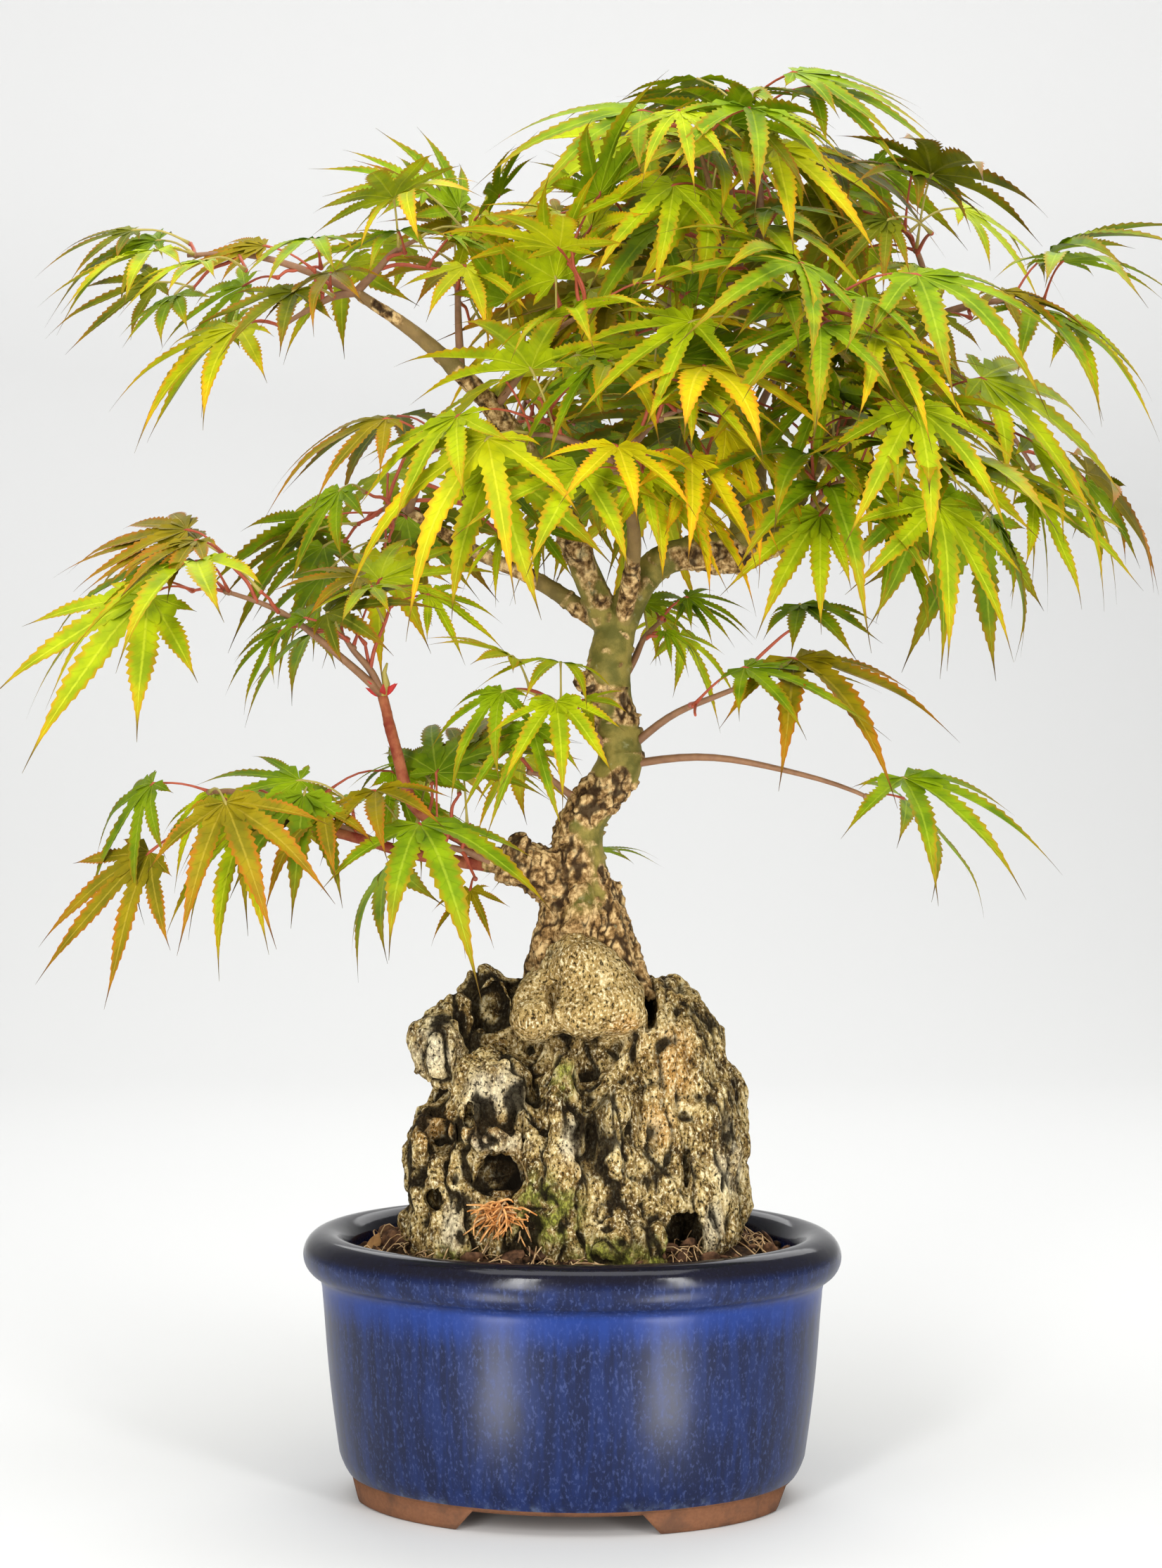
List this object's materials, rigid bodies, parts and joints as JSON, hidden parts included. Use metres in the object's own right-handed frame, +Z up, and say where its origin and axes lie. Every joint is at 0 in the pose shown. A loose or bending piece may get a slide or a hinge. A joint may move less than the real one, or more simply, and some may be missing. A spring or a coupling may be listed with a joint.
{
  "type": "japanese maple bonsai on a rock in an oval pot",
  "caption": "Japanese maple bonsai with a crooked trunk over a craggy rock, in an oval blue glazed pot on low clay feet.",
  "frame": {"origin": "on the ground under the middle of the plant's whole spread, which lies a little off the pot's centre", "axes": "+Z up, X along the pot's long axis, -Y towards the pot's front as in the picture"},
  "size_m": [0.334, 0.2239, 0.4207],
  "materials": {
    "blue_glaze": "gloss",
    "soil": "matte",
    "rock": "matte",
    "bark": "matte",
    "foliage": "satin"
  },
  "bodies": {
    "root": {"pot": "blue_glaze", "soil": "soil", "rock": "rock", "trunk": "bark", "right_bough": "bark", "leader": "bark", "right_upper_bough": "bark", "back_bough": "bark", "left_bough": "bark", "left_middle_bough": "bark", "back_left_bough": "bark", "front_bough": "bark", "burr_bough": "bark", "reaching_twig": "bark", "low_twig": "bark", "crown_top": "foliage", "crown_top_left": "foliage", "crown_back": "foliage", "top_right": "foliage", "right_upper": "foliage", "right_back": "foliage", "right_middle": "foliage", "right_low": "foliage", "centre_front": "foliage", "front": "foliage", "front_low": "foliage", "upper_front": "foliage", "left_centre": "foliage", "top_left": "foliage", "left_upper_front": "foliage", "left_upper": "foliage", "left_upper_low": "foliage", "left_middle": "foliage", "left_middle_low": "foliage", "left_outer": "foliage", "left_inner": "foliage", "low_left_outer": "foliage", "low_left_middle": "foliage", "lower_left": "foliage", "inner_left": "foliage", "inner_low": "foliage", "left_back": "foliage", "back": "foliage", "back_low": "foliage", "right_low_leaf": "foliage", "right_hanging_leaf": "foliage", "inner_right": "foliage", "behind_trunk": "foliage", "middle": "foliage", "far_right": "foliage"}
  },
  "joints": []
}
